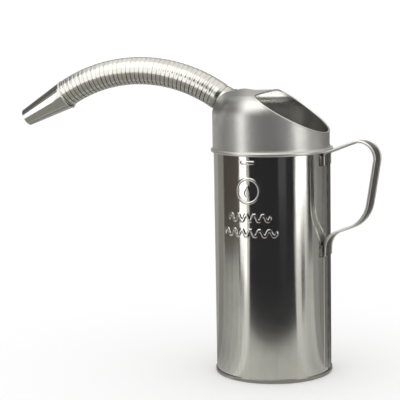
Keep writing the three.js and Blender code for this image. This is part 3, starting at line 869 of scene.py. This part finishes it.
def build_handle():
    """The strap, dished towards its edges, and the two rolled edges."""
    sideways = np.array([-math.sin(HANDLE_ANGLE), math.cos(HANDLE_ANGLE), 0])
    half = HANDLE_WIDTH / 2 - 1.6
    places = np.linspace(-half, half, 13)
    dish = 0.75 * (places / half) ** 4
    top = np.stack([places, dish + 0.25], -1)
    bottom = np.stack([places, dish - 0.25], -1)[::-1]
    path, tangents = handle_path(-0.15)
    across = np.broadcast_to(sideways, path.shape)
    points, faces = swept(path, tangents, -across, np.concatenate([bottom, top])[::-1])
    new_piece("handle_band", points, faces, SHADED_HANDLE_TIN, ["handle_strap"])
    path, tangents = handle_path(0.25)
    for name, side in (("front", -1), ("back", 1)):
        edge = path + sideways * side * (HANDLE_WIDTH / 2 - 1.25)
        points, faces = swept(edge, tangents, -across, circle(1.25, 16))
        new_piece(f"handle_edge_{name}", points, faces, LIT_WIRE_TIN, [f"handle_wire_{name}"])


def build_foot(name, low, high, seed):
    """Solder pad under one end of the strap: a lumpy plate that hugs the body, thicker at its two sides."""
    rng = np.random.default_rng(seed)
    half = PAD_HALF_WIDTH
    across = np.linspace(-half, half, 61)
    heights = np.linspace(low, high, 41)
    u, z = np.meshgrid(across, heights)
    ragged = np.convolve(rng.normal(0, 1, 61), np.ones(5) / 5, "same")
    squeeze = (z - (low + high) / 2) / ((high - low) / 2)
    z = z + squeeze * 0.7 * ragged
    u = u * (1 + 0.06 * np.convolve(rng.normal(0, 1, 41), np.ones(4) / 4, "same"))[:, None]
    side = smoothstep((np.abs(u) - 6.6) / 2.2) * smoothstep((half - np.abs(u)) / 1.6)
    ends = smoothstep((1 - np.abs(squeeze)) / 0.25)
    lumps = rng.normal(0, 1, u.shape)
    for _ in range(4):
        lumps = (lumps + np.roll(lumps, 1, 0) + np.roll(lumps, -1, 0) + np.roll(lumps, 1, 1)) / 4
    thick = 0.35 + (0.85 + 0.5 * lumps) * side * ends
    inner = BODY_RADIUS + 0.05 + 0 * u
    outer = BODY_RADIUS + LOCK_SEAM_HEIGHT * (np.abs(u) < 4.6) + 0.2 + thick * ends
    angle = u / BODY_RADIUS + HANDLE_ANGLE
    sheets = []
    for radius in (outer, inner):
        sheets.append(np.stack([radius * np.cos(angle), radius * np.sin(angle), z], -1).reshape(-1, 3))
    rows, columns = u.shape
    front = grid_faces(rows, columns)
    back = [tuple(k + rows * columns for k in f[::-1]) for f in front]
    loop = list(range(columns))
    loop += [i * columns + columns - 1 for i in range(1, rows)]
    loop += [(rows - 1) * columns + j for j in range(columns - 2, -1, -1)]
    loop += [i * columns for i in range(rows - 2, 0, -1)]
    skirt = [
        (a, a + rows * columns, b + rows * columns, b) for a, b in zip(loop, loop[1:] + loop[:1])
    ]
    points, faces = np.concatenate(sheets), front + back + skirt
    new_piece(f"solder_{name}", points, faces, SOLDER, [f"foot_plate_{name}"])


# ---- studio ----
CAMERA_AZIMUTH = math.radians(15.7)
CAMERA_DISTANCE = 1.3153
CAMERA_HEIGHT = 0.3612
CAMERA_YAW = math.radians(-3.05)
CAMERA_PITCH = math.radians(-8.34)
CAMERA_ROLL = math.radians(-1.06)
CAMERA_LENS = 123.64


def build_camera():
    data = bpy.data.cameras.new("camera")
    data.sensor_width = 36
    data.lens = CAMERA_LENS
    camera = bpy.data.objects.new("camera", data)
    bpy.context.scene.collection.objects.link(camera)
    turn = Matrix.Rotation(CAMERA_AZIMUTH, 4, "Z")
    camera.location = turn @ Vector((0, -CAMERA_DISTANCE, CAMERA_HEIGHT))
    heading = Matrix.Rotation(-CAMERA_YAW, 4, "Z")
    tilt = Matrix.Rotation(math.pi / 2 + CAMERA_PITCH, 4, "X")
    roll = Matrix.Rotation(CAMERA_ROLL, 4, "Z")
    camera.rotation_euler = (turn @ heading @ tilt @ roll).to_euler()
    bpy.context.scene.camera = camera


def glow(name, colour, strength=1.0, mirrored_at=None):
    """A light-giving material. mirrored_at, a (middle, half width), limits the distances it shows at."""
    material = bpy.data.materials.new(name)
    material.use_nodes = True
    tree = material.node_tree
    tree.nodes.remove(tree.nodes["Principled BSDF"])
    light = tree.nodes.new("ShaderNodeEmission")
    light.inputs["Color"].default_value = (*colour, 1)
    light.inputs["Strength"].default_value = strength
    surface = light
    if mirrored_at:
        within = tree.nodes.new("ShaderNodeMath")
        within.operation = "COMPARE"
        within.inputs[1].default_value, within.inputs[2].default_value = mirrored_at
        tree.links.new(tree.nodes.new("ShaderNodeLightPath").outputs["Ray Length"], within.inputs[0])
        surface = tree.nodes.new("ShaderNodeMixShader")
        tree.links.new(within.outputs[0], surface.inputs[0])
        tree.links.new(tree.nodes.new("ShaderNodeBsdfTransparent").outputs[0], surface.inputs[1])
        tree.links.new(light.outputs[0], surface.inputs[2])
    tree.links.new(surface.outputs[0], tree.nodes["Material Output"].inputs["Surface"])
    return material


def paper(name, colour):
    material = bpy.data.materials.new(name)
    material.use_nodes = True
    shader = material.node_tree.nodes["Principled BSDF"]
    shader.inputs["Base Color"].default_value = (*colour, 1)
    shader.inputs["Roughness"].default_value = 0.9
    shader.inputs["Specular IOR Level"].default_value = 0.1
    return material


def board(name, x, y, z, material, mirrored_only=True):
    """A flat card in the camera's heading, x right and y away. Two of x, y and z are (from, to) pairs."""
    spans = [v if isinstance(v, tuple) else (v, v) for v in (x, y, z)]
    wide = [k for k in range(3) if isinstance((x, y, z)[k], tuple)]
    turn = Matrix.Rotation(CAMERA_AZIMUTH, 3, "Z")
    corners = []
    for first, second in ((0, 0), (1, 0), (1, 1), (0, 1)):
        corner = [span[0] for span in spans]
        corner[wide[0]] = spans[wide[0]][first]
        corner[wide[1]] = spans[wide[1]][second]
        corners.append(turn @ Vector(corner))
    return mirrored_card(name, corners, material, mirrored_only)


def mirrored_card(name, corners, material, mirrored_only=True):
    """A four-cornered card on the stage, which shows only in reflections unless it is said otherwise."""
    mesh = bpy.data.meshes.new(name)
    mesh.from_pydata(corners, [], [(0, 1, 2, 3)])
    mesh.materials.append(material)
    thing = bpy.data.objects.new(name, mesh)
    bpy.context.scene.collection.objects.link(thing)
    if mirrored_only:
        thing.visible_camera = False
        thing.visible_diffuse = False
        thing.visible_shadow = False
        thing.visible_transmission = False
    return thing


ROOM_LIGHT = 1.12
ROOM_DIM = 0.17
ROOM_OVERHEAD = 0.95
LAMP_HEADING = (-40, 48)  # azimuth and elevation in the camera's heading
LAMP_BRIGHT = 0.8
DARK = (0.010, 0.010, 0.012)
WHITE = (1.0, 0.995, 0.97)
GREY = (0.46, 0.455, 0.42)
SPOUT_SHADE = (0.27, 0.265, 0.235)
# Painted shadow and light on the mirrored paper: wedges darker than the grey paper where the can's shade
# falls to its left and right, and paler wedges as painted glints.
PAPER_SHADES = [  # heading from, heading to, how pale the mirrored paper is between them
    (-175, -133, 0.32),
    (-133, -112, 0.21),
    (-112, -96, 0.29),
    (-96, -82, 0.33),
    (-82, -68, 0.385),
    (-57, -46, 0.6),
    (42, 54, 0.52),
    (62, 72, 0.42),
    (82, 97, 0.25),
    (97, 112, 0.185),
    (112, 133, 0.13),
    (133, 175, 0.06),
]
FAR = 6.0


def build_world():
    """White for the eye and for the floor. The metal mirrors a dim room that grows bright overhead."""
    world = bpy.data.worlds.new("studio")
    bpy.context.scene.world = world
    world.use_nodes = True
    tree = world.node_tree

    def brightness(value, low, high, to_low, to_high):
        node = tree.nodes.new("ShaderNodeMapRange")
        node.interpolation_type = "SMOOTHSTEP"
        tree.links.new(value, node.inputs["Value"])
        for socket, number in zip(list(node.inputs)[1:5], (low, high, to_low, to_high)):
            socket.default_value = number
        return node.outputs["Result"]

    direction = tree.nodes.new("ShaderNodeTexCoord").outputs["Generated"]
    parts = tree.nodes.new("ShaderNodeSeparateXYZ")
    tree.links.new(direction, parts.inputs[0])
    nearness = tree.nodes.new("ShaderNodeVectorMath")
    nearness.operation = "DOT_PRODUCT"
    nearness.inputs[1].default_value = heading(*LAMP_HEADING)
    tree.links.new(direction, nearness.inputs[0])
    both = tree.nodes.new("ShaderNodeMath")
    tree.links.new(brightness(parts.outputs["Z"], 0.26, 0.87, ROOM_DIM, ROOM_OVERHEAD), both.inputs[0])
    tree.links.new(brightness(nearness.outputs["Value"], 0.76, 0.95, 0, LAMP_BRIGHT), both.inputs[1])
    mirrored = tree.nodes.new("ShaderNodeBackground")
    mirrored.inputs["Color"].default_value = (1, 0.995, 0.95, 1)
    tree.links.new(both.outputs[0], mirrored.inputs["Strength"])
    seen = tree.nodes["Background"]
    seen.inputs["Color"].default_value = (1, 1, 1, 1)
    seen.inputs["Strength"].default_value = ROOM_LIGHT
    path = tree.nodes.new("ShaderNodeLightPath")
    mix = tree.nodes.new("ShaderNodeMixShader")
    tree.links.new(path.outputs["Is Glossy Ray"], mix.inputs[0])
    tree.links.new(seen.outputs[0], mix.inputs[1])
    tree.links.new(mirrored.outputs[0], mix.inputs[2])
    tree.links.new(mix.outputs[0], tree.nodes["World Output"].inputs["Surface"])


def build_floor():
    """White floor for the eye, and the grey paper on a dark table that the metal mirrors in its place."""
    white = paper("white_floor", (0.92, 0.92, 0.92))
    floor = board("floor", (-FAR, FAR), (-FAR, FAR), 0, white, mirrored_only=False)
    floor.visible_glossy = False
    floor.visible_shadow = False
    board("mirrored_paper", (-0.75, 0.7), (-0.2, FAR), -0.0003, paper("grey_paper", GREY))
    # Painted shadow and light: wedges of darker or paler paper, mirrored only.
    for index, (start, end, shade) in enumerate(PAPER_SHADES):
        edges = [heading(start, 0), heading(end, 0)]
        corners = [edges[0] * 0.03, edges[0] * FAR, edges[1] * FAR, edges[1] * 0.03]
        corners = [corner - Vector((0, 0, 0.0002)) for corner in corners]
        colour = (shade, shade * 0.99, shade * 0.93)
        mirrored_card(f"paper_shade_{index + 1}", corners, paper(f"paper_shade_{index + 1}", colour))
    board("mirrored_table", (-FAR, FAR), (-FAR, FAR), -0.002, glow("dark_table", DARK))


def heading(azimuth, elevation):
    """A direction from the camera's own heading: azimuth 0 is towards the camera, 90 to its right."""
    side, rise = math.radians(azimuth), math.radians(elevation)
    flat = Vector((math.cos(rise) * math.sin(side), -math.cos(rise) * math.cos(side), math.sin(rise)))
    return Matrix.Rotation(CAMERA_AZIMUTH, 3, "Z") @ flat


def card_along(name, line, low, high, reach, material):
    """A strip of cards that follows a line of points, between two headings from it."""
    rows = []
    for point in line:
        point = Vector(point) * MM
        rows.append((point + heading(*low) * reach, point + heading(*high) * reach))
    for index, (first, second) in enumerate(zip(rows, rows[1:])):
        mirrored_card(f"{name}_{index + 1}", [first[0], second[0], second[1], first[1]], material)


def build_spout_cards():
    """A light and a dim card beside the nozzle, and the same along the hose, mirrored only from near by."""
    line = [NOZZLE_BASE - NOZZLE_AXIS * 25, NOZZLE_BASE + NOZZLE_AXIS * (NOZZLE_LENGTH + 25)]
    near_nozzle, near_hose = (0.08, 0.08), (0.06, 0.06)
    light = glow("nozzle_light", WHITE, 1.5, near_nozzle)
    card_along("nozzle_card", line, (-48, -19), (-73, 13), 0.07, light)
    shade = glow("nozzle_dim", SPOUT_SHADE, 1, near_nozzle)
    card_along("nozzle_shade", line, (-20, -75), (-48, -19), 0.07, shade)
    arch = [arc_point(ARC_START - math.radians(turn)) for turn in range(-10, 71, 10)]
    card_along("hose_card", arch, (-37, -8), (-45, 26), 0.05, glow("hose_light", WHITE, 1.2, near_hose))
    card_along("hose_shade", arch, (-12, -64), (-37, -8), 0.05, glow("hose_dim", SPOUT_SHADE, 1, near_hose))


def build_studio():
    build_camera()
    build_world()
    build_floor()
    board("left_panel", (-0.79, -0.378), -0.32, (0.0, 0.9), glow("left_light", WHITE, 1.7))
    board("right_panel", (0.43, 1.1), -0.44, (0.03, 0.9), glow("right_light", WHITE, 1.8))
    board("dark_left", -2.0, (0.15, 2.3), (0.7, 2.3), glow("dark_left", (0.13, 0.13, 0.12)))
    board("backdrop", (-1.2, 1.2), 3.0, (0.0, 1.2), glow("backdrop", WHITE, 0.5))
    board("dark_front", (-2.6, 2.6), -1.25, (0.0, 0.6), glow("dark_room", DARK))
    board("dark_middle", (-0.5, 0.7), -1.24, (0.0, 1.0), glow("dark_middle", DARK))
    board("dim_streak", (0.27, 0.6), -1.2, (0.0, 0.6), glow("dim_light", (0.09, 0.09, 0.1)))
    board("brown_left", -0.66, (-0.31, 0.22), (0.0, 0.31), glow("brown_room", (0.07, 0.058, 0.048)))
    board("inside_light", (-0.055, 0.045), (-0.02, 0.05), 0.08, glow("inside_light", WHITE, 2.4, (0.3, 0.19)))
    build_spout_cards()
    bpy.context.scene.view_settings.view_transform = "Standard"


build_body()
build_base()
dome = build_hood()
build_mouth_wire(dome)
build_neck()
build_ferrule()
for stretch in range(SEGMENTS):
    build_hose_stretch(stretch)
build_nozzle()
build_handle()
for pad in SOLDER_PADS:
    build_foot(*pad)
build_studio()
